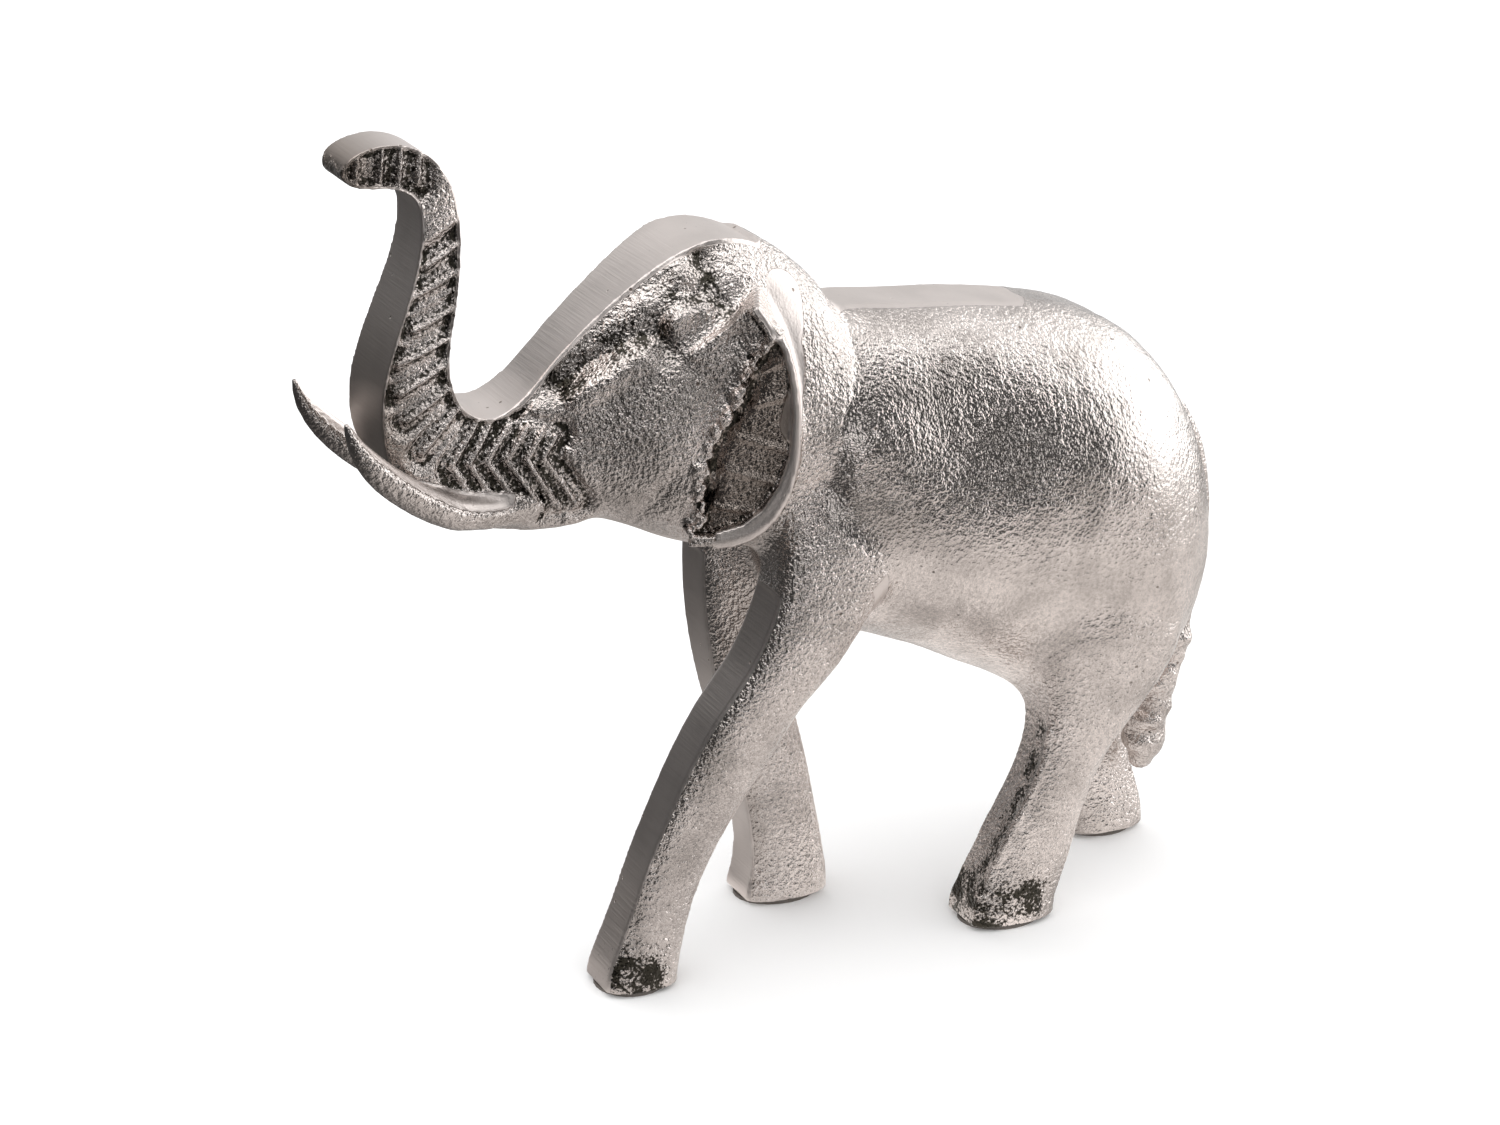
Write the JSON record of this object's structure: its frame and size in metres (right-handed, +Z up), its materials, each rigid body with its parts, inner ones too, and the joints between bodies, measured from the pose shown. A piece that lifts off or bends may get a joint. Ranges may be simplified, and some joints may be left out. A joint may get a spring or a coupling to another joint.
{
  "type": "elephant figurine",
  "caption": "Cast-metal elephant figurine standing in a walking pose with its trunk raised, tusks forward and ears spread, for a shelf or table.",
  "frame": {"origin": "centre of the bounding box's base, on the surface that the figurine stands on", "axes": "+X to the elephant's left, +Y towards its tail (it faces -Y), +Z up"},
  "size_m": [0.0964, 0.2884, 0.2581],
  "materials": {
    "cast_metal": "raw sand-cast with a warm nickel plating; ridges, leg fronts, ear rims and tusk edges ground smooth",
    "felt": "dark pressed felt"
  },
  "bodies": {
    "root": {"torso_left": "cast_metal", "torso_right": "cast_metal", "head_left": "cast_metal", "head_right": "cast_metal", "trunk": "cast_metal", "ear_left": "cast_metal", "ear_right": "cast_metal", "tusk_left": "cast_metal", "tusk_right": "cast_metal", "foreleg_left": "cast_metal", "foreleg_right": "cast_metal", "hindleg_left": "cast_metal", "hindleg_right": "cast_metal", "tail": "cast_metal", "pad_foreleg_left": "felt", "pad_foreleg_right": "felt", "pad_hindleg_left": "felt", "pad_hindleg_right": "felt"}
  },
  "joints": []
}
